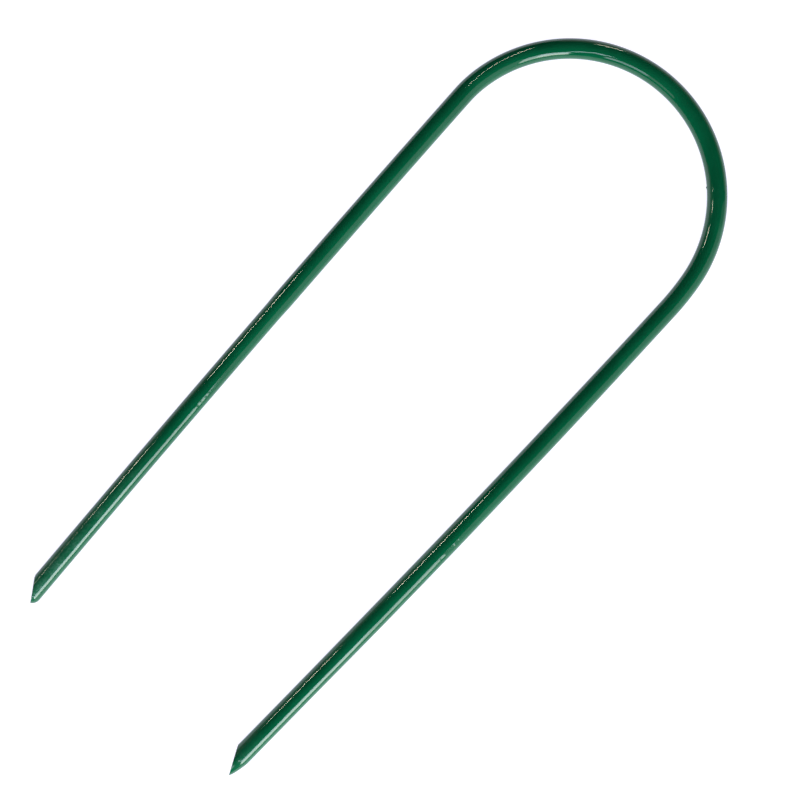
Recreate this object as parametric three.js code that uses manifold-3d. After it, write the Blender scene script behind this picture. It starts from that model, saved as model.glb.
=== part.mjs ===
// U-shaped tent stake: a round steel bar bent into a U inside a polymer coat, sheared to a point on
// each leg. It lies flat on the plane z = 0 with its legs along Y and its crown towards +Y. The origin
// is the centre of its footprint.
import * as THREE from 'three';
import { mergeVertices } from 'three/addons/utils/BufferGeometryUtils.js';
import Module from 'manifold-3d';

// Driving dimensions, in millimetres and degrees.
const COAT_DIAMETER = 10;
const ROD_DIAMETER = 8;
const BOND_GAP = 0.1;
const SECTION_SIDES = 20;

// The centreline from the left point, up the left leg, over the crown and down to the right point. Each
// stretch turns clockwise by its angle: the legs are slightly bowed, and lean in towards their points.
// The end of the right leg is all but straight.
const START_HEADING = 91.95;
const LEFT_LEG = { length: 327, turn: 1.5, steps: 6 };
const LEFT_SHOULDER = { radius: 63, turn: 12.3, steps: 3 };
const CROWN = { radius: 72.4, turn: 161.2, steps: 30 };
const RIGHT_SHOULDER = { radius: 136, turn: 7.5, steps: 2 };
const RIGHT_LEG = { length: 224, turn: 1.78, steps: 5 };
const RIGHT_END = { length: 90, turn: 0.1, steps: 1 };
const STRETCHES = [LEFT_LEG, LEFT_SHOULDER, CROWN, RIGHT_SHOULDER, RIGHT_LEG, RIGHT_END];

// Each point is a flat oblique shear cut, with the long side of the bar rolled over. Both angles are
// measured from the leg's axis, and the apex lies off that axis towards +X. The bar is swept a little
// past each point, and the cuts take that overrun off.
const APEX_OFFSET = 2.5;
const LEFT_POINT = { shearAngle: 31.6, rollAngle: 28 };
const RIGHT_POINT = { shearAngle: 28.2, rollAngle: 20 };
const OVERRUN = 4;
const CUTTER_SIZE = 80;

const WELD_TOLERANCE = 1e-4;

// A flat centreline made of circular arcs. Its parameter runs evenly over the steps of the stretches,
// so the bends get closer sections than the legs.
class BentCentreline extends THREE.Curve {
  constructor(stretches, startHeading, overrun) {
    super();
    this.arcs = [];
    this.steps = 0;
    let start = new THREE.Vector3();
    let heading = THREE.MathUtils.degToRad(startHeading);
    for (const stretch of stretches) {
      const turn = THREE.MathUtils.degToRad(stretch.turn);
      const isEnd = stretch === stretches[0] || stretch === stretches.at(-1);
      const length = (stretch.length ?? stretch.radius * turn) + (isEnd ? overrun : 0);
      const arc = { start, heading, length, curvature: -turn / length, steps: stretch.steps };
      this.arcs.push(arc);
      this.steps += stretch.steps;
      start = BentCentreline.pointOn(arc, length);
      heading -= turn;
    }
  }

  static pointOn(arc, distance) {
    const heading = arc.heading + arc.curvature * distance;
    const x = (Math.sin(heading) - Math.sin(arc.heading)) / arc.curvature;
    const y = (Math.cos(arc.heading) - Math.cos(heading)) / arc.curvature;
    return new THREE.Vector3(arc.start.x + x, arc.start.y + y, 0);
  }

  static tangentOn(arc, distance) {
    const heading = arc.heading + arc.curvature * distance;
    return new THREE.Vector3(Math.cos(heading), Math.sin(heading), 0);
  }

  // The arc that holds parameter t, and how far along that arc it lies.
  locate(t) {
    let step = t * this.steps;
    for (const arc of this.arcs) {
      if (step <= arc.steps) return [arc, (step / arc.steps) * arc.length];
      step -= arc.steps;
    }
    return [this.arcs.at(-1), this.arcs.at(-1).length];
  }

  getPoint(t) {
    return BentCentreline.pointOn(...this.locate(t));
  }

  getTangent(t) {
    return BentCentreline.tangentOn(...this.locate(t));
  }

  getUtoTmapping(u) {
    return u;
  }
}

// A regular polygon whose flats touch the circle of this diameter. One flat faces the ground.
function sectionPoints(diameter) {
  const cornerRadius = diameter / 2 / Math.cos(Math.PI / SECTION_SIDES);
  const points = [];
  for (let i = 0; i < SECTION_SIDES; i += 1) {
    const angle = ((i + 0.5) * 2 * Math.PI) / SECTION_SIDES;
    points.push(new THREE.Vector2(cornerRadius * Math.cos(angle), cornerRadius * Math.sin(angle)));
  }
  return points;
}

function rodSection() {
  return new THREE.Shape(sectionPoints(ROD_DIAMETER));
}

function coatSection() {
  const shape = new THREE.Shape(sectionPoints(COAT_DIAMETER));
  shape.holes.push(new THREE.Path(sectionPoints(ROD_DIAMETER + 2 * BOND_GAP)));
  return shape;
}

const wasm = await Module();
wasm.setup();

function toSolid(geometry) {
  const bare = geometry.clone();
  bare.deleteAttribute('normal');
  bare.deleteAttribute('uv');
  const welded = mergeVertices(bare, WELD_TOLERANCE);
  return new wasm.Manifold(new wasm.Mesh({
    numProp: 3,
    vertProperties: new Float32Array(welded.attributes.position.array),
    triVerts: new Uint32Array(welded.index.array),
  }));
}

function toGeometry(solid) {
  const mesh = solid.getMesh();
  const geometry = new THREE.BufferGeometry();
  geometry.setAttribute('position', new THREE.BufferAttribute(mesh.vertProperties, 3));
  geometry.setIndex(new THREE.BufferAttribute(mesh.triVerts, 1));
  geometry.computeVertexNormals();
  return geometry;
}

// A block that fills everything beyond an upright plane. The plane passes through the point, and
// outward is its normal.
function cutter(point, outward) {
  const box = new THREE.BoxGeometry(CUTTER_SIZE, CUTTER_SIZE, CUTTER_SIZE);
  box.translate(CUTTER_SIZE / 2, 0, 0);
  box.rotateZ(Math.atan2(outward.y, outward.x));
  box.translate(point.x, point.y, point.z);
  return toSolid(box);
}

// The shear cut and the rolled-over side of one point. The centreline leaves the leg at tip, in the
// direction along.
function pointCutters(tip, along, { shearAngle, rollAngle }) {
  const across = new THREE.Vector3(-along.y, along.x, 0);
  const apex = tip.clone().addScaledVector(across, APEX_OFFSET);
  const shear = THREE.MathUtils.degToRad(shearAngle);
  const roll = THREE.MathUtils.degToRad(rollAngle);
  const shearOut = along.clone().multiplyScalar(Math.sin(shear)).addScaledVector(across, -Math.cos(shear));
  const rollOut = along.clone().multiplyScalar(Math.sin(roll)).addScaledVector(across, Math.cos(roll));
  return [cutter(apex, shearOut), cutter(apex, rollOut)];
}

function allCutters(centreline) {
  const first = centreline.arcs[0];
  const last = centreline.arcs.at(-1);
  const leftTip = BentCentreline.pointOn(first, OVERRUN);
  const leftAlong = BentCentreline.tangentOn(first, OVERRUN).negate();
  const rightTip = BentCentreline.pointOn(last, last.length - OVERRUN);
  const rightAlong = BentCentreline.tangentOn(last, last.length - OVERRUN);
  return [
    ...pointCutters(leftTip, leftAlong, LEFT_POINT),
    ...pointCutters(rightTip, rightAlong, RIGHT_POINT),
  ];
}

// One section swept round the centreline, with both points sheared.
function bentBar(section, centreline) {
  const options = { steps: centreline.steps, extrudePath: centreline, bevelEnabled: false };
  let solid = toSolid(new THREE.ExtrudeGeometry(section, options));
  for (const block of allCutters(centreline)) {
    solid = solid.subtract(block);
  }
  return toGeometry(solid);
}

const steelMaterial = new THREE.MeshStandardMaterial({ color: 0x9a9da0, roughness: 0.42, metalness: 1 });
const coatMaterial = new THREE.MeshStandardMaterial({ color: 0x075336, roughness: 0.22, metalness: 0 });

const centreline = new BentCentreline(STRETCHES, START_HEADING, OVERRUN);

const steelRod = new THREE.Mesh(bentBar(rodSection(), centreline), steelMaterial);
steelRod.name = 'steel_rod';

const greenCoat = new THREE.Mesh(bentBar(coatSection(), centreline), coatMaterial);
greenCoat.name = 'green_coat';

const stake = new THREE.Group();
stake.name = 'tent_stake';
stake.add(steelRod, greenCoat);

// The centreline starts at z = 0 and its own origin, so the stake is moved to rest on the ground with
// the centre of its footprint at the origin.
const box = new THREE.Box3().setFromObject(greenCoat);
const centre = box.getCenter(new THREE.Vector3());
stake.position.set(-centre.x, -centre.y, -box.min.z);

export default stake;
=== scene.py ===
"""Looks of the U-shaped tent stake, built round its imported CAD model.

Two pieces stand for the two CAD nodes: the green coat, a skin with a real wall, and the steel rod inside
it, which shows at the two sheared faces. Shapes are worked out in millimetres, and to_row turns them into
the row frame's metres.
"""
import math

import bpy
import numpy as np
from mathutils import Matrix, Vector, noise


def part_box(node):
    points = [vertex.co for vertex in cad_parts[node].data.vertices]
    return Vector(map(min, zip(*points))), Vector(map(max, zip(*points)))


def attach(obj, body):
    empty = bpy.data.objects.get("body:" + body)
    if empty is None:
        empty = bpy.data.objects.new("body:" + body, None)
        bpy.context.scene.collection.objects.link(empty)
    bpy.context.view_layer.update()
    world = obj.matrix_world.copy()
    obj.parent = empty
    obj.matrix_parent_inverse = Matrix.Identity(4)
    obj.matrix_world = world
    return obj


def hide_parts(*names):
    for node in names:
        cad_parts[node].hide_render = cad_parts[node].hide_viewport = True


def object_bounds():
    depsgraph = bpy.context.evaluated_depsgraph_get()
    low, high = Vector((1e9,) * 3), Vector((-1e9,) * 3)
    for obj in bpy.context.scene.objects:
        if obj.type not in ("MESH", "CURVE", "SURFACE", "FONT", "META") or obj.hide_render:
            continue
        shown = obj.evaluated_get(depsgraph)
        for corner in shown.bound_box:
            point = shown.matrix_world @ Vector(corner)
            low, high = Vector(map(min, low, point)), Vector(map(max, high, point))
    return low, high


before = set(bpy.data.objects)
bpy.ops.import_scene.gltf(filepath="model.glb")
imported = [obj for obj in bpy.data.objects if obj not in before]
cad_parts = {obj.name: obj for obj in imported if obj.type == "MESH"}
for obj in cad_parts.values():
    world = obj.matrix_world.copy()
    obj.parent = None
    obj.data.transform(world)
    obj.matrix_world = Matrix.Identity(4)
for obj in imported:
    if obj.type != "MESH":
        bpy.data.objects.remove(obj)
cad_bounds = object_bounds()

MM = 0.001

# ---------------------------------------------------------------------------------------------------
# Design dimensions in millimetres and degrees. The centreline and the diameters are the CAD model's. The
# points are shaped more finely: their shear planes lean, and their rolled-over sides are curved.

COAT_RADIUS = 5.0
ROD_RADIUS = 4.0
START_HEADING = 91.95
# (length, turn) of each stretch, from the left point to the right one.
LEFT_LEG = (327.0, 1.5)
LEFT_SHOULDER = (63.0 * math.radians(12.3), 12.3)
CROWN = (72.4 * math.radians(161.2), 161.2)
RIGHT_SHOULDER = (136.0 * math.radians(7.5), 7.5)
RIGHT_LEG = (224.0, 1.78)
RIGHT_END = (90.0, 0.1)
STRETCHES = (LEFT_LEG, LEFT_SHOULDER, CROWN, RIGHT_SHOULDER, RIGHT_LEG, RIGHT_END)
BAR_LENGTH = sum(length for length, turn in STRETCHES)

# Each point: the shear plane's angle to the leg, how far the plane leans back at its top, how far back the
# rolled-over side starts, and the two exponents of its outline.
APEX_OFFSET = 2.4
LEFT_POINT = {"shear": 31.6, "lean": 12.0, "roll_length": 4.2, "roll_in": 2.4, "roll_out": 0.8}
RIGHT_POINT = {"shear": 28.2, "lean": 2.0, "roll_length": 10.2, "roll_in": 1.15, "roll_out": 0.62}
POINT_ZONE = 24.0
TIP_ROUNDNESS = 0.6
RIM_ROUNDING = 0.25
RIM_LIFT = 0.35
BOND_CLEARANCE = 0.03
COAT_WALL = COAT_RADIUS - ROD_RADIUS - BOND_CLEARANCE
TEAR_HEIGHT = 0.12
TEAR_GRAIN = 1.1

# The coat's thickness changes along the bar: (distance, softness, change) of each step.
THINNEST = -0.26
COAT_STEPS = (
    (90.0, 45.0, 0.09),
    (190.0, 1.6, 0.20),
    (345.0, 12.0, -0.03),
    (610.0, 10.0, 0.11),
    (797.0, 10.0, -0.19),
)
# Keeps the exponential of a step within range, far from it.
STEP_REACH = 50

# Wear of the coat's top near each point: where it has faded out, over what distance, and how strong it is.
LEFT_WEAR = (105.0, 75.0, 1.0)
RIGHT_WEAR = (28.0, 20.0, 0.45)
WORN_FROM = 0.55

# Mesh density: points round the bar, the spacing of rings along it, and rows over each small feature.
AROUND = 64
RING_SPACING = 0.75
BORE_SPACING = 6.0
POINT_ROWS = 30
BORE_POINT_ROWS = 8
RIM_ROWS = 4
FACE_ROWS = 9
OFFSET_SAMPLES = 2000


# ---------------------------------------------------------------------------------------------------
# The bent centreline

def centreline(distances):
    """Points, headings and outward normals at these distances from the left point, in millimetres."""
    distances = np.asarray(distances, float)
    points = np.zeros((len(distances), 2))
    headings = np.zeros(len(distances))
    start = np.zeros(2)
    heading = math.radians(START_HEADING)
    travelled = 0.0
    for index, (length, turn) in enumerate(STRETCHES):
        curvature = -math.radians(turn) / length
        last = index == len(STRETCHES) - 1
        here = distances >= travelled
        if not last:
            here &= distances < travelled + length
        if index == 0:
            here |= distances < 0
        local = distances[here] - travelled
        turned = heading + curvature * local
        points[here, 0] = start[0] + (np.sin(turned) - math.sin(heading)) / curvature
        points[here, 1] = start[1] + (math.cos(heading) - np.cos(turned)) / curvature
        headings[here] = turned
        end = heading + curvature * length
        start = start + np.array([
            (math.sin(end) - math.sin(heading)) / curvature,
            (math.cos(heading) - math.cos(end)) / curvature,
        ])
        heading = end
        travelled += length
    outward = np.stack([-np.sin(headings), np.cos(headings)], axis=1)
    return points, headings, outward


def frame_offset():
    """What moves the centreline's own coordinates into the row frame, in millimetres."""
    dense = np.linspace(0, BAR_LENGTH, OFFSET_SAMPLES)
    points, headings, outward = centreline(dense)
    outer = points + outward * COAT_RADIUS
    low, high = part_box("green_coat")
    x = high.x / MM - outer[:, 0].max()
    y = high.y / MM - outer[:, 1].max()
    return np.array([x, y])


OFFSET = frame_offset()
AXIS_HEIGHT = COAT_RADIUS


# ---------------------------------------------------------------------------------------------------
# Surfaces of the bar. A place on it is a distance s from the left point and an angle round the section,
# which is 0 at the top and a quarter turn on the outer side of the U. All lengths are in millimetres.

def point_section(back, point):
    """Sideways shift of the section's centre and its radius, this far back from the apex."""
    q = np.clip(1 - back / point["roll_length"], 0, 1)
    side = (1 - q ** point["roll_in"]) ** point["roll_out"]
    outline = APEX_OFFSET + (COAT_RADIUS - APEX_OFFSET) * side
    radius = COAT_RADIUS * (1 - (1 - TIP_ROUNDNESS) * q ** 2)
    return outline - radius, radius


def coat_swell(s):
    """How much thicker than its nominal wall the coat is at s. It is thin on the left leg, steps up
    part way along it, is thickest on the right leg, and thins again towards the right point."""
    swell = np.full(np.shape(s), THINNEST)
    for where, softness, change in COAT_STEPS:
        swell = swell + change / (1 + np.exp(-np.clip((s - where) / softness, -STEP_REACH, STEP_REACH)))
    return swell


def wear(s):
    """How worn the coat's top is at s, from 0 to 1."""
    worn = np.zeros(np.shape(s))
    for back, (reach, fade, strength) in ((s, LEFT_WEAR), (BAR_LENGTH - s, RIGHT_WEAR)):
        worn = np.maximum(worn, strength * np.clip((reach - back) / fade, 0, 1))
    return worn


def to_row(s, outward_mm, up_mm):
    """Row-frame points, in metres, from distances along, outward from and above the bar's axis."""
    points, headings, outward = centreline(s)
    xy = points + outward * outward_mm[:, None] + OFFSET
    return np.column_stack([xy, AXIS_HEIGHT + up_mm]) * MM


def bar_points(s, angles, inset):
    """Row-frame points on the surface that lies inset inside the coat's nominal outside."""
    s, angles, inset = np.broadcast_arrays(s, angles, inset)
    left_shift, left_radius = point_section(s, LEFT_POINT)
    right_shift, right_radius = point_section(BAR_LENGTH - s, RIGHT_POINT)
    on_left = s < BAR_LENGTH / 2
    shift = np.where(on_left, -left_shift, right_shift)
    radius = np.where(on_left, left_radius, right_radius) - inset
    return to_row(s, shift + radius * np.sin(angles), radius * np.cos(angles))


# The coat's relief: slow waviness along the bar, the orange peel of a thick glossy coat, and a few
# bumps. Each layer is (grain along the bar, grain round the bar, height).
RELIEF_LAYERS = ((46.0, 12.0, 0.018), (14.0, 6.0, 0.004), (3.2, 2.4, 0.0012))
# Sets each layer's noise apart from the last one's.
LAYER_SHIFT = 17.0
# Each bump is (distance s, angle in degrees, half width, height).
DRIP_NUB = (495.6, -92.0, 0.42, 0.62)
BLISTER_PATCHES = (
    {"count": 44, "s": 719.0, "spread": 20.0, "angle": 31.0, "turn": 12.0},
    {"count": 24, "s": 122.0, "spread": 26.0, "angle": -33.0, "turn": 9.0},
)
BLISTER_WIDTHS = (0.22, 0.48)
BLISTER_STEEPNESS = 0.15
SEED = 11


def bumps():
    """The drip nub inside the crown, and patches of small blisters on both legs."""
    random = np.random.default_rng(SEED)
    found = [DRIP_NUB]
    for patch in BLISTER_PATCHES:
        for index in range(patch["count"]):
            s = random.normal(patch["s"], patch["spread"] / 2)
            angle = random.normal(patch["angle"], patch["turn"])
            width = random.uniform(*BLISTER_WIDTHS)
            found.append((s, angle, width, BLISTER_STEEPNESS * width))
    return found


def relief(s, angles):
    """Height of the coat's surface over its nominal radius, for arrays of places."""
    height = coat_swell(s)
    radial = np.stack([COAT_RADIUS * np.cos(angles), COAT_RADIUS * np.sin(angles)], axis=-1)
    for layer, (along, around, size) in enumerate(RELIEF_LAYERS):
        across = radial / around
        lengthways = s / along + LAYER_SHIFT * layer
        places = np.stack([lengthways, across[..., 0], across[..., 1]], axis=-1)
        waves = [noise.noise(place) for place in places.reshape(-1, 3).tolist()]
        height = height + size * np.array(waves).reshape(s.shape)
    for middle, degrees, width, tall in bumps():
        turn = (angles - math.radians(degrees) + math.pi) % (2 * math.pi) - math.pi
        away = (s - middle) ** 2 + (turn * COAT_RADIUS) ** 2
        height = height + tall * np.exp(-away / width ** 2)
    return height


# ---------------------------------------------------------------------------------------------------
# Rows of places, from which both pieces are skinned. A row goes once round the bar: its distances s, and
# its insets below the coat's nominal outside.

ANGLES = np.arange(AROUND) * 2 * math.pi / AROUND
LEFT, RIGHT = -1, 1
POINTS = {LEFT: LEFT_POINT, RIGHT: RIGHT_POINT}
# The search for the shear plane starts this far beyond the apex and halves the range this many times.
SEARCH_BEYOND = 4.0
HALVINGS = 40
# Rows crowd towards the shear plane by this power.
CROWDING = 1.4


def from_apex(back, end):
    """Distances s of places this far back from the left or the right apex."""
    return back if end == LEFT else BAR_LENGTH - back


def shear_back(end, inset):
    """How far back from the apex the shear plane cuts each line of the surface at this inset."""
    point = POINTS[end]
    shear = math.radians(point["shear"])
    slope = math.tan(shear)
    rake = math.tan(math.radians(point["lean"])) / math.cos(shear)
    near = np.full(AROUND, -SEARCH_BEYOND)
    far = np.full(AROUND, POINT_ZONE)
    for halving in range(HALVINGS):
        middle = (near + far) / 2
        shift, radius = point_section(middle, point)
        across = shift + (radius - inset) * end * np.sin(ANGLES)
        height = (radius - inset) * np.cos(ANGLES)
        beyond = across + middle * slope - height * rake < APEX_OFFSET
        near = np.where(beyond, middle, near)
        far = np.where(beyond, far, middle)
    return (near + far) / 2


def point_rows(end, inset, count, lift=0.0):
    """Rows from the shear plane, or lift behind it, back to where the bar is a plain tube."""
    start = shear_back(end, inset) + lift
    steps = (np.arange(count) / (count - 1)) ** CROWDING
    return [(from_apex(start + (POINT_ZONE - start) * step, end), inset) for step in steps]


def tube_rows(inset, spacing, count, lift=0.0):
    """Rows over the whole surface at this inset, from the left shear plane to the right one."""
    first, last = POINT_ZONE, BAR_LENGTH - POINT_ZONE
    middle = np.linspace(first, last, round((last - first) / spacing))[1:-1]
    left = point_rows(LEFT, inset, count, lift)
    right = point_rows(RIGHT, inset, count, lift)
    return left + [(np.full(AROUND, s), inset) for s in middle] + right[::-1]


def rounded_rim_rows(end):
    """Rows over the coat's rounded outer edge, from the skin to the shear plane."""
    rows = []
    for quarter in np.linspace(0, math.pi / 2, RIM_ROWS + 1)[1:]:
        inset = RIM_ROUNDING * (1 - math.cos(quarter))
        lift = RIM_LIFT * (1 - math.sin(quarter))
        rows.append((from_apex(shear_back(end, inset) + lift, end), inset))
    return rows


def land_rows(end):
    """Rows over the coat's flat sheared land, from its rounded edge to its bore."""
    insets = np.linspace(RIM_ROUNDING, COAT_WALL, 3)[1:]
    return [(from_apex(shear_back(end, inset), end), inset) for inset in insets]


def ring(row, height=0.0):
    """The points of one row, raised by height over its own surface."""
    s, inset = row
    return bar_points(s, ANGLES, inset - height)


# ---------------------------------------------------------------------------------------------------
# The two pieces

def skin(name, rings, closed):
    """A mesh object through rings of points. closed joins the last ring to the first; otherwise each
    end gets a point at its ring's middle."""
    vertices = np.concatenate(rings)
    faces = []
    count = len(rings)
    for i in range(count if closed else count - 1):
        low, high = i * AROUND, ((i + 1) % count) * AROUND
        for j in range(AROUND):
            k = (j + 1) % AROUND
            faces.append((low + j, low + k, high + k, high + j))
    if not closed:
        middles = np.array([rings[0].mean(axis=0), rings[-1].mean(axis=0)])
        first, last = len(vertices), len(vertices) + 1
        vertices = np.concatenate([vertices, middles])
        top = (count - 1) * AROUND
        for j in range(AROUND):
            k = (j + 1) % AROUND
            faces.append((first, k, j))
            faces.append((last, top + j, top + k))
    mesh = bpy.data.meshes.new(name)
    mesh.from_pydata(vertices.tolist(), [], faces)
    mesh.shade_smooth()
    mesh.update()
    piece = bpy.data.objects.new(name, mesh)
    bpy.context.scene.collection.objects.link(piece)
    return piece


def signed_volume(mesh):
    """A closed mesh's volume, which is negative if its faces point inwards."""
    mesh.calc_loop_triangles()
    corners = np.array([[mesh.vertices[v].co for v in t.vertices] for t in mesh.loop_triangles])
    return np.einsum("ij,ij->i", corners[:, 0], np.cross(corners[:, 1], corners[:, 2])).sum() / 6


def face_outward(piece):
    """Turns a closed mesh's faces to the outside."""
    if signed_volume(piece.data) < 0:
        piece.data.flip_normals()


def make_coat():
    """The coat: an outer skin with relief, a rounded rim and a flat land at each point, and the bore."""
    outer = tube_rows(0.0, RING_SPACING, POINT_ROWS, RIM_LIFT)
    places = np.array([s for s, inset in outer])
    heights = relief(places, np.broadcast_to(ANGLES, places.shape))
    skin_rings = [ring(row, height) for row, height in zip(outer, heights)]
    left_rim = [ring(row, heights[0]) for row in rounded_rim_rows(LEFT)]
    right_rim = [ring(row, heights[-1]) for row in rounded_rim_rows(RIGHT)]
    left_land = [ring(row) for row in land_rows(LEFT)]
    right_land = [ring(row) for row in land_rows(RIGHT)]
    bore = [ring(row) for row in tube_rows(COAT_WALL, BORE_SPACING, BORE_POINT_ROWS)[1:-1]]
    rings = left_rim[::-1] + skin_rings + right_rim + right_land + bore[::-1] + left_land[::-1]
    piece = skin("coat_skin", rings, closed=True)
    sheared = len(left_rim) * [1.0] + len(skin_rings) * [0.0] + (len(right_rim) + len(right_land)) * [1.0]
    sheared += len(bore) * [0.0] + len(left_land) * [1.0]
    add_attribute(piece, "sheared", np.repeat(sheared, AROUND))
    add_attribute(piece, "worn", worn_top(piece))
    face_outward(piece)
    return piece


def add_attribute(piece, name, values):
    """Gives a piece one number per vertex, for its material to read."""
    attribute = piece.data.attributes.new(name, "FLOAT", "POINT")
    attribute.data.foreach_set("value", np.asarray(values, np.float32))


def worn_top(piece):
    """Wear at each vertex: that of its place along the bar, on the upper side only."""
    places = np.array([vertex.co for vertex in piece.data.vertices]) / MM
    dense = np.linspace(0, BAR_LENGTH, round(BAR_LENGTH))
    points, headings, outward = centreline(dense)
    nearest = [np.argmin(((points + OFFSET - place) ** 2).sum(axis=1)) for place in places[:, :2]]
    upward = (places[:, 2] - AXIS_HEIGHT) / COAT_RADIUS
    return wear(dense[nearest]) * np.clip((upward - WORN_FROM) / (1 - WORN_FROM), 0, 1)


def face_rings(rim, outward):
    """Rings that close a sheared steel face, from its rim inwards, with the tearing of the shear."""
    middle = rim.mean(axis=0)
    rings = []
    for share in np.linspace(1, 0, FACE_ROWS + 1)[1:-1]:
        flat = middle + (rim - middle) * share
        torn = [TEAR_HEIGHT * noise.noise(place) for place in (flat / MM / TEAR_GRAIN).tolist()]
        rings.append(flat + np.array(torn)[:, None] * MM * outward)
    return rings


def make_rod():
    """The rod: a plain bar in the coat's bore, closed by its two sheared faces."""
    inset = COAT_RADIUS - ROD_RADIUS
    side = [ring(row) for row in tube_rows(inset, BORE_SPACING, BORE_POINT_ROWS)]
    left = face_rings(side[0], shear_normal(LEFT))
    right = face_rings(side[-1], shear_normal(RIGHT))
    piece = skin("rod_bar", left[::-1] + side + right, closed=False)
    face_outward(piece)
    return piece


def shear_normal(end):
    """The outward unit normal of a point's shear plane."""
    angle = math.radians(POINTS[end]["shear"])
    points, headings, outward = centreline([from_apex(0.0, end)])
    along = end * np.array([math.cos(headings[0]), math.sin(headings[0])])
    across = end * outward[0]
    level = math.sin(angle) * along - math.cos(angle) * across
    lean = math.radians(POINTS[end]["lean"])
    return np.array([*(level * math.cos(lean)), math.sin(lean)])


# ---------------------------------------------------------------------------------------------------
# Materials

# Noise grains are in cells per metre, and bump depths in metres.
CLOUD_GRAIN = 60.0
DEEP_GREEN = (0.35, (0.0006, 0.125, 0.049))
LIGHT_GREEN = (0.68, (0.0014, 0.148, 0.060))
SPECK_GRAIN = 1100.0
SMUDGE_GRAIN = 160.0
SCUFF_THRESHOLD = 0.12
SCUFF_GAIN = 4.0
CHALKY_DARK = (0.3, (0.035, 0.20, 0.115))
CHALKY_LIGHT = (0.7, (0.055, 0.23, 0.145))
TORN_DARK = (0.35, (0.004, 0.075, 0.034))
TORN_LIGHT = (0.65, (0.02, 0.15, 0.08))
GLOSS_ROUGHNESS = 0.06
SCUFF_ROUGHNESS = 0.22
TORN_ROUGHNESS = 0.3
PEEL_GRAIN = 900.0
PEEL_STRENGTH = 0.03
PEEL_DEPTH = 0.00002
COAT_IOR = 1.5

DRAG_GRAIN = 2600.0
DRAG_STRETCH = (1.0, 1.0, 0.12)
DRAG_STRENGTH = 0.5
DRAG_DEPTH = 0.00006
PATCH_GRAIN = 420.0
STEEL_DARK = (0.35, (0.30, 0.31, 0.33))
STEEL_LIGHT = (0.65, (0.56, 0.57, 0.58))
RUST_DARK = (0.35, (0.10, 0.08, 0.065))
RUST_LIGHT = (0.65, (0.24, 0.21, 0.18))
RUST_FROM = (0.52, (0.0, 0.0, 0.0))
RUST_TO = (0.66, (1.0, 1.0, 1.0))
STEEL_ROUGHNESS = 0.2
PATCH_ROUGHNESS = 0.4

FLOOR_GRAIN = 30.0
FLOOR_DARK = (0.3, (0.29, 0.29, 0.29))
FLOOR_LIGHT = (0.7, (0.33, 0.33, 0.33))
FLOOR_ROUGHNESS = 0.8
FLOOR_SPECULAR = 0.1
FLOOR_GLOW = 1.0
FLOOR_TINT = (0.97, 0.955, 1.12, 1)


def new_material(name):
    """A node material with a Principled surface. Returns the material, its nodes, links and shader."""
    material = bpy.data.materials.new(name)
    material.use_nodes = True
    tree = material.node_tree
    return material, tree.nodes, tree.links, tree.nodes["Principled BSDF"]


def add_noise(nodes, links, vector, scale, detail):
    """A noise texture in the piece's own metres."""
    texture = nodes.new("ShaderNodeTexNoise")
    texture.inputs["Scale"].default_value = scale
    texture.inputs["Detail"].default_value = detail
    links.new(vector, texture.inputs["Vector"])
    return texture.outputs["Fac"]


def add_ramp(nodes, links, factor, low, high):
    """A ramp between two (position, colour) ends."""
    ramp = nodes.new("ShaderNodeValToRGB")
    for element, (position, colour) in zip(ramp.color_ramp.elements, (low, high)):
        element.position = position
        element.color = (*colour, 1)
    links.new(factor, ramp.inputs["Fac"])
    return ramp.outputs["Color"]


def add_mix(nodes, links, factor, first, second):
    """The second colour laid over the first by the factor."""
    mix = nodes.new("ShaderNodeMix")
    mix.data_type = "RGBA"
    links.new(factor, mix.inputs["Factor"])
    links.new(first, mix.inputs["A"])
    links.new(second, mix.inputs["B"])
    return mix.outputs["Result"]


def add_math(nodes, links, operation, *values):
    """A maths node on sockets and plain numbers."""
    node = nodes.new("ShaderNodeMath")
    node.operation = operation
    for socket, value in zip(node.inputs, values):
        if isinstance(value, (int, float)):
            socket.default_value = value
        else:
            links.new(value, socket)
    return node.outputs["Value"]


def read_attribute(nodes, name):
    """A number that the piece's vertices carry."""
    attribute = nodes.new("ShaderNodeAttribute")
    attribute.attribute_name = name
    return attribute.outputs["Fac"]


def add_bump(nodes, links, shader, height, strength, distance):
    """Bumps the shader's normal by a height."""
    bump = nodes.new("ShaderNodeBump")
    bump.inputs["Strength"].default_value = strength
    bump.inputs["Distance"].default_value = distance
    links.new(height, bump.inputs["Height"])
    links.new(bump.outputs["Normal"], shader.inputs["Normal"])


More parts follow.
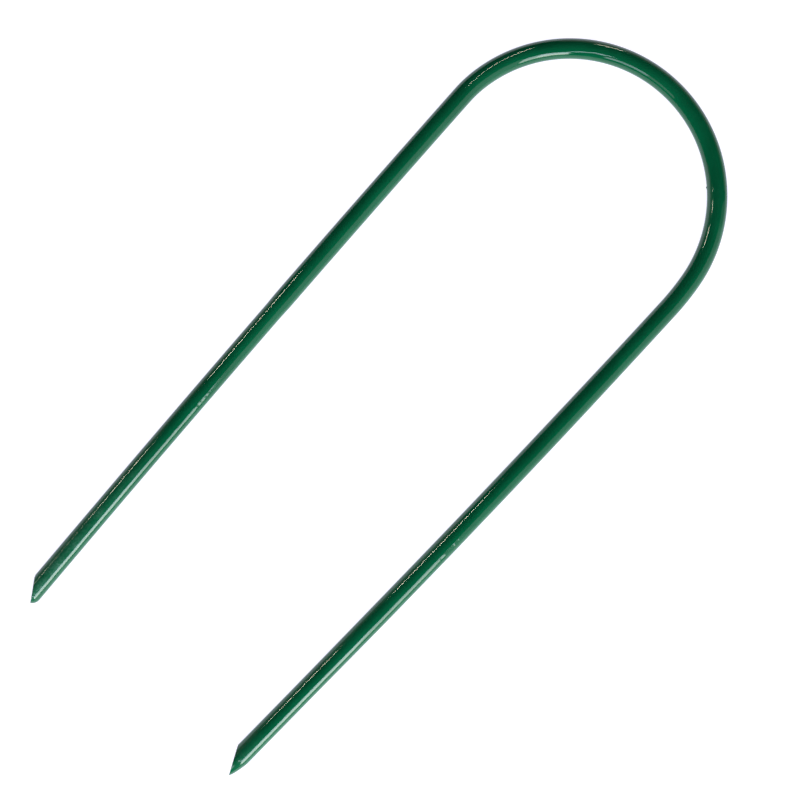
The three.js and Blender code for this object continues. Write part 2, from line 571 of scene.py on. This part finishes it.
def coat_material():
    """Glossy green polymer: a clouded tint, fine orange peel, scuffs where it is worn, and a duller,
    darker edge where it was sheared."""
    material, nodes, links, shader = new_material("green_coat")
    place = nodes.new("ShaderNodeTexCoord").outputs["Object"]
    clouds = add_noise(nodes, links, place, CLOUD_GRAIN, 4.0)
    green = add_ramp(nodes, links, clouds, DEEP_GREEN, LIGHT_GREEN)

    specks = add_noise(nodes, links, place, SPECK_GRAIN, 3.0)
    smudges = add_noise(nodes, links, place, SMUDGE_GRAIN, 3.0)
    scuffs = add_math(nodes, links, "MULTIPLY", specks, smudges)
    scuffs = add_math(nodes, links, "SUBTRACT", scuffs, SCUFF_THRESHOLD)
    scuffs = add_math(nodes, links, "MULTIPLY", scuffs, read_attribute(nodes, "worn"))
    scuffs = add_math(nodes, links, "MULTIPLY", scuffs, SCUFF_GAIN)
    scuffed = add_math(nodes, links, "MINIMUM", add_math(nodes, links, "MAXIMUM", scuffs, 0.0), 1.0)
    chalky = add_ramp(nodes, links, clouds, CHALKY_DARK, CHALKY_LIGHT)
    colour = add_mix(nodes, links, scuffed, green, chalky)

    sheared = read_attribute(nodes, "sheared")
    torn = add_ramp(nodes, links, specks, TORN_DARK, TORN_LIGHT)
    links.new(add_mix(nodes, links, sheared, colour, torn), shader.inputs["Base Color"])

    dull = add_math(nodes, links, "MULTIPLY_ADD", scuffed, SCUFF_ROUGHNESS, GLOSS_ROUGHNESS)
    rough = add_math(nodes, links, "MULTIPLY_ADD", sheared, TORN_ROUGHNESS, dull)
    links.new(rough, shader.inputs["Roughness"])

    peel = add_noise(nodes, links, place, PEEL_GRAIN, 2.0)
    add_bump(nodes, links, shader, peel, PEEL_STRENGTH, PEEL_DEPTH)
    shader.inputs["IOR"].default_value = COAT_IOR
    return material


def steel_material():
    """Sheared steel: grey, with the drag marks of the blade and a few darker, oxidised patches."""
    material, nodes, links, shader = new_material("sheared_steel")
    place = nodes.new("ShaderNodeTexCoord").outputs["Object"]
    stretch = nodes.new("ShaderNodeMapping")
    stretch.inputs["Scale"].default_value = DRAG_STRETCH
    links.new(place, stretch.inputs["Vector"])
    drag = add_noise(nodes, links, stretch.outputs["Vector"], DRAG_GRAIN, 3.0)
    patches = add_noise(nodes, links, place, PATCH_GRAIN, 4.0)
    bright = add_ramp(nodes, links, drag, STEEL_DARK, STEEL_LIGHT)
    rusty = add_ramp(nodes, links, drag, RUST_DARK, RUST_LIGHT)
    spread = add_ramp(nodes, links, patches, RUST_FROM, RUST_TO)
    links.new(add_mix(nodes, links, spread, bright, rusty), shader.inputs["Base Color"])
    rough = add_math(nodes, links, "MULTIPLY_ADD", patches, PATCH_ROUGHNESS, STEEL_ROUGHNESS)
    links.new(rough, shader.inputs["Roughness"])
    add_bump(nodes, links, shader, drag, DRAG_STRENGTH, DRAG_DEPTH)
    shader.inputs["Metallic"].default_value = 1.0
    return material


def floor_material():
    """The light table's faintly mottled, glowing white."""
    material, nodes, links, shader = new_material("light_table")
    place = nodes.new("ShaderNodeTexCoord").outputs["Object"]
    grain = add_noise(nodes, links, place, FLOOR_GRAIN, 3.0)
    mottle = add_ramp(nodes, links, grain, FLOOR_DARK, FLOOR_LIGHT)
    links.new(mottle, shader.inputs["Base Color"])
    shader.inputs["Roughness"].default_value = FLOOR_ROUGHNESS
    shader.inputs["Specular IOR Level"].default_value = FLOOR_SPECULAR
    shader.inputs["Emission Color"].default_value = FLOOR_TINT
    shader.inputs["Emission Strength"].default_value = FLOOR_GLOW
    return material


# ---------------------------------------------------------------------------------------------------
# Assembly

coat = make_coat()
coat.data.materials.append(coat_material())
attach(coat, "root")
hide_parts("green_coat")

rod = make_rod()
rod.data.materials.append(steel_material())
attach(rod, "root")
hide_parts("steel_rod")


# ---------------------------------------------------------------------------------------------------
# Floor, lights and camera

FLOOR_SIDE = 6.0

WHITE = (1.0, 1.0, 1.0)
BLUISH = (0.74, 0.86, 1.0)
COOL = (0.82, 0.94, 1.0)
PALE = (0.93, 1.0, 0.96)
WARM = (1.0, 0.88, 0.70)
BROWN = (1.0, 0.92, 0.82)
# The thin warm tubes: their thickness, and the height of the lower ones and of those by the crown.
TUBE = 0.030
TUBE_HEIGHT = 0.55
CROWN_TUBE_HEIGHT = 0.50
SKY_STRENGTH = 0.02


def make_floor():
    """A white light table, which glows a little, so that shadows on it stay pale."""
    half = FLOOR_SIDE / 2
    corners = [(-half, -half, 0), (half, -half, 0), (half, half, 0), (-half, half, 0)]
    mesh = bpy.data.meshes.new("light_table")
    mesh.from_pydata(corners, [], [(0, 1, 2, 3)])
    mesh.materials.append(floor_material())
    floor = bpy.data.objects.new("light_table", mesh)
    bpy.context.scene.collection.objects.link(floor)


def add_lamp(name, start, end, height, radiance, colour, lights=True, shines=True, flat=False):
    """A lamp between two points at half its height, upright and facing the stake, or flat and facing down.
    The camera doesn't see it. lights is whether it lights surfaces, and shines whether it is reflected."""
    start, end = Vector(start), Vector(end)
    centre = (start + end) / 2
    along = (end - start).normalized()
    back = along.cross(Vector((0, 0, 1))).normalized()
    if back.dot(centre) < 0:
        along = -along
        back = -back
    if flat:
        back = Vector((0, 0, 1))
    lamp = bpy.data.lights.new(name, "AREA")
    lamp.shape = "RECTANGLE"
    lamp.size = (end - start).length
    lamp.size_y = height
    lamp.energy = radiance * math.pi * lamp.size * height
    lamp.color = colour
    holder = bpy.data.objects.new(name, lamp)
    axes = Matrix((along, back.cross(along), back)).transposed()
    holder.matrix_world = Matrix.Translation(centre) @ axes.to_4x4()
    holder.visible_camera = False
    holder.visible_diffuse = lights
    holder.visible_glossy = shines
    bpy.context.scene.collection.objects.link(holder)


def softbox():
    """The key lamp on the right: brightest half way up and at its near end, and cooler at the top."""
    bands = (
        (0.68, 0.28, 6.5, 10.0, BLUISH),
        (0.41, 0.26, 8.0, 11.5, PALE),
        (0.22, 0.12, 5.0, 7.0, PALE),
    )
    for number, (middle, height, far, near, colour) in enumerate(bands):
        parts = (("far", -0.25, -0.12, far), ("near", -0.55, -0.25, near))
        for part, start, end, radiance in parts:
            name = f"softbox_{part}_{number}"
            add_lamp(name, (0.80, start, middle), (0.80, end, middle), height, radiance, colour)


def fills():
    """Wide soft lamps that only light the bar's body colour, and aren't reflected."""
    places = (
        ("key_fill", (0.80, -0.55, 0.42), (0.80, -0.12, 0.42), 0.68, 3.0),
        ("right_fill", (0.95, -0.12, 0.45), (0.95, 0.90, 0.45), 0.80, 0.98),
        ("end_fill", (-0.40, -1.10, 0.40), (0.60, -1.10, 0.40), 0.70, 1.16),
        ("left_fill", (-0.95, -0.90, 0.20), (-0.95, 0.0, 0.20), 0.35, 0.45),
    )
    for name, start, end, height, radiance in places:
        add_lamp(name, start, end, height, radiance, WHITE, shines=False)
    add_lamp("top_fill", (0.05, -0.60, 1.20), (0.05, 0.60, 1.20), 0.40, 1.63, WHITE, shines=False, flat=True)


def reflections():
    """Lamps and walls that are seen only as reflections in the gloss. The right panel dims in steps towards
    its far end, so that its reflection fades out over the crown."""
    places = (
        ("right_panel", (0.85, -0.12, 0.50), (0.85, 0.62, 0.50), 1.00, 1.0, COOL),
        ("right_panel_fade", (0.85, 0.62, 0.50), (0.85, 0.80, 0.50), 1.00, 0.75, COOL),
        ("right_panel_end", (0.85, 0.80, 0.50), (0.85, 1.05, 0.50), 1.00, 0.40, COOL),
        ("arc_strip", (0.87, -0.61, 1.08), (0.49, -0.67, 1.38), 0.04, 60.0, BLUISH),
        ("end_window", (0.20, -0.95, 0.75), (0.70, -0.95, 0.75), 0.60, 4.5, BLUISH),
        ("end_wall", (-0.12, -0.95, 0.70), (0.20, -0.95, 0.70), 0.55, 1.2, COOL),
        ("left_wall", (-0.90, -0.90, 0.17), (-0.90, -0.03, 0.17), 0.34, 0.3, BROWN),
        ("far_wall", (-0.80, 1.10, 0.20), (0.80, 1.10, 0.20), 0.40, 0.3, BROWN),
    )
    for name, start, end, height, radiance, colour in places:
        add_lamp(name, start, end, height, radiance, colour, lights=False)


def tubes():
    """Thin warm lamps on the left, in a broken row, which draw the fine warm line along the bar."""
    places = (
        ((-0.80, -0.46), (-0.80, -0.41), TUBE_HEIGHT, 36.0),
        ((-0.80, -0.345), (-0.80, -0.24), TUBE_HEIGHT, 60.0),
        ((-0.80, -0.14), (-0.80, 0.01), TUBE_HEIGHT, 60.0),
        ((-0.280, 0.239), (-0.422, 0.513), CROWN_TUBE_HEIGHT, 60.0),
        ((-0.334, 1.137), (-0.511, 1.102), CROWN_TUBE_HEIGHT, 60.0),
    )
    for number, (start, end, up, radiance) in enumerate(places):
        name = f"tube_{number}"
        add_lamp(name, (*start, up), (*end, up), TUBE, radiance, WARM, lights=False)


def make_world():
    """A backdrop that the camera sees as white and the stake sees as nearly black."""
    world = bpy.data.worlds.new("studio")
    bpy.context.scene.world = world
    world.use_nodes = True
    nodes, links = world.node_tree.nodes, world.node_tree.links
    sky = nodes["Background"]
    sky.inputs["Color"].default_value = (1, 1, 1, 1)
    sky.inputs["Strength"].default_value = SKY_STRENGTH
    backdrop = nodes.new("ShaderNodeBackground")
    backdrop.inputs["Color"].default_value = (1, 1, 1, 1)
    backdrop.inputs["Strength"].default_value = 1.0
    rays = nodes.new("ShaderNodeLightPath")
    mix = nodes.new("ShaderNodeMixShader")
    links.new(rays.outputs["Is Camera Ray"], mix.inputs["Fac"])
    links.new(sky.outputs["Background"], mix.inputs[1])
    links.new(backdrop.outputs["Background"], mix.inputs[2])
    links.new(mix.outputs["Shader"], nodes["World Output"].inputs["Surface"])
    bpy.context.scene.view_settings.view_transform = "Standard"


# The camera looks straight down. Its height is over the bar's axis, VIEW_WIDTH is what it sees across at
# that height, and AIM_OFFSET is from the middle of the CAD's box. All are in metres.
CAMERA_HEIGHT = 0.745
CAMERA_ROLL = 42.0
AIM_OFFSET = (0.00475, -0.00608)
VIEW_WIDTH = 0.3925417
SENSOR = 36.0


def make_camera():
    """The camera of the main view."""
    camera_data = bpy.data.cameras.new("camera")
    camera_data.sensor_width = SENSOR
    camera_data.lens = CAMERA_HEIGHT / VIEW_WIDTH * SENSOR
    camera = bpy.data.objects.new("camera", camera_data)
    low, high = cad_bounds
    aim_x = (low[0] + high[0]) / 2 + AIM_OFFSET[0]
    aim_y = (low[1] + high[1]) / 2 + AIM_OFFSET[1]
    camera.location = (aim_x, aim_y, CAMERA_HEIGHT + AXIS_HEIGHT * MM)
    camera.rotation_euler = (0, 0, math.radians(CAMERA_ROLL))
    bpy.context.scene.collection.objects.link(camera)
    bpy.context.scene.camera = camera


make_floor()
softbox()
fills()
reflections()
tubes()
make_world()
make_camera()
